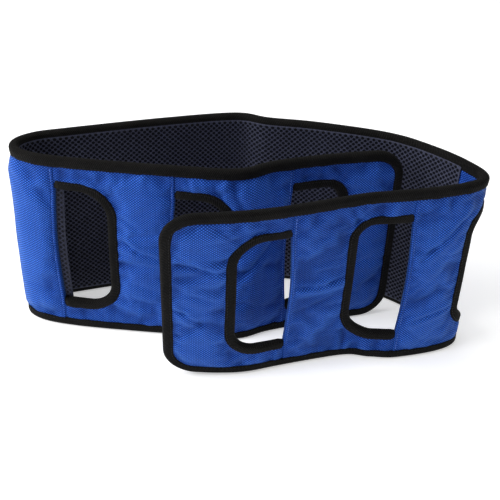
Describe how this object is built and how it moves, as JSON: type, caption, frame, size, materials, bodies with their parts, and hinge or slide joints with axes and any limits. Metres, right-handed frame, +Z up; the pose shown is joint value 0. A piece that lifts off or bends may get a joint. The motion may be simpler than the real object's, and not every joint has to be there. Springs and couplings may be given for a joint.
{
  "type": "gait belt",
  "caption": "Wide padded patient-handling belt with bound edges and a row of D-shaped hand holes at each end, standing on edge as an overlapping loop.",
  "frame": {"origin": "middle of the standing belt's plan outline, on the floor it stands on", "axes": "+X along the long way of the loop towards its right fold, +Y towards the centre panel at the back, +Z up across the belt's width"},
  "size_m": [0.413, 0.198, 0.1826],
  "materials": {
    "blue_nylon": "woven royal-blue nylon oxford, slight sheen",
    "blue_lining": "woven royal-blue nylon oxford, slight sheen",
    "spacer_mesh": "navy-black knitted spacer mesh, matte",
    "binding_tape": "black folded binding tape, matte",
    "foam": "closed-cell foam padding, matte"
  },
  "bodies": {
    "centre_panel": {"centre_cover": "blue_nylon", "centre_lower_binding": "binding_tape", "centre_mesh_lining": "spacer_mesh", "centre_pad": "foam", "centre_upper_binding": "binding_tape"},
    "a3_panel": {"a3_cover": "blue_nylon", "a3_hole_binding": "binding_tape", "a3_lining": "blue_lining", "a3_lower_binding": "binding_tape", "a3_pad": "foam", "a3_upper_binding": "binding_tape"},
    "a2_panel": {"a2_cover": "blue_nylon", "a2_hole_binding": "binding_tape", "a2_lining": "blue_lining", "a2_lower_binding": "binding_tape", "a2_pad": "foam", "a2_upper_binding": "binding_tape"},
    "a1_panel": {"a1_cover": "blue_nylon", "a1_edge_binding": "binding_tape", "a1_hole_binding": "binding_tape", "a1_lining": "blue_lining", "a1_pad": "foam"},
    "b3_panel": {"b3_cover": "blue_nylon", "b3_hole_binding": "binding_tape", "b3_lining": "blue_lining", "b3_lower_binding": "binding_tape", "b3_pad": "foam", "b3_upper_binding": "binding_tape"},
    "b2_panel": {"b2_cover": "blue_nylon", "b2_hole_binding": "binding_tape", "b2_lining": "blue_lining", "b2_lower_binding": "binding_tape", "b2_pad": "foam", "b2_upper_binding": "binding_tape"},
    "b1_panel": {"b1_cover": "blue_nylon", "b1_edge_binding": "binding_tape", "b1_hole_binding": "binding_tape", "b1_lining": "blue_lining", "b1_pad": "foam"}
  },
  "joints": [
    {"name": "a3_seam_fold", "type": "hinge", "parent": "centre_panel", "child": "a3_panel", "pos_m": [0.18589, 0.026, 0], "axis": [0, 0, 1], "range_deg": [-2, 40]},
    {"name": "a2_seam_fold", "type": "hinge", "parent": "a3_panel", "child": "a2_panel", "pos_m": [0.14135, -0.03252, 0], "axis": [0, -0.0086, 1], "range_deg": [-4, 40]},
    {"name": "a1_seam_fold", "type": "hinge", "parent": "a2_panel", "child": "a1_panel", "pos_m": [0.0394, -0.04963, 0], "axis": [0, -0.1056, 0.9944], "range_deg": [-8, 40]},
    {"name": "b3_seam_fold", "type": "hinge", "parent": "centre_panel", "child": "b3_panel", "pos_m": [-0.16435, -0.00539, 0], "axis": [0, 0, -1], "range_deg": [0, 8]},
    {"name": "b2_seam_fold", "type": "hinge", "parent": "b3_panel", "child": "b2_panel", "pos_m": [-0.05967, -0.01317, 0], "axis": [0, 0, -1], "range_deg": [-1, 12]},
    {"name": "b1_seam_fold", "type": "hinge", "parent": "b2_panel", "child": "b1_panel", "pos_m": [0.04066, 0.00407, 0], "axis": [0, -0.0324, -0.9995], "range_deg": [-4, 20]}
  ]
}
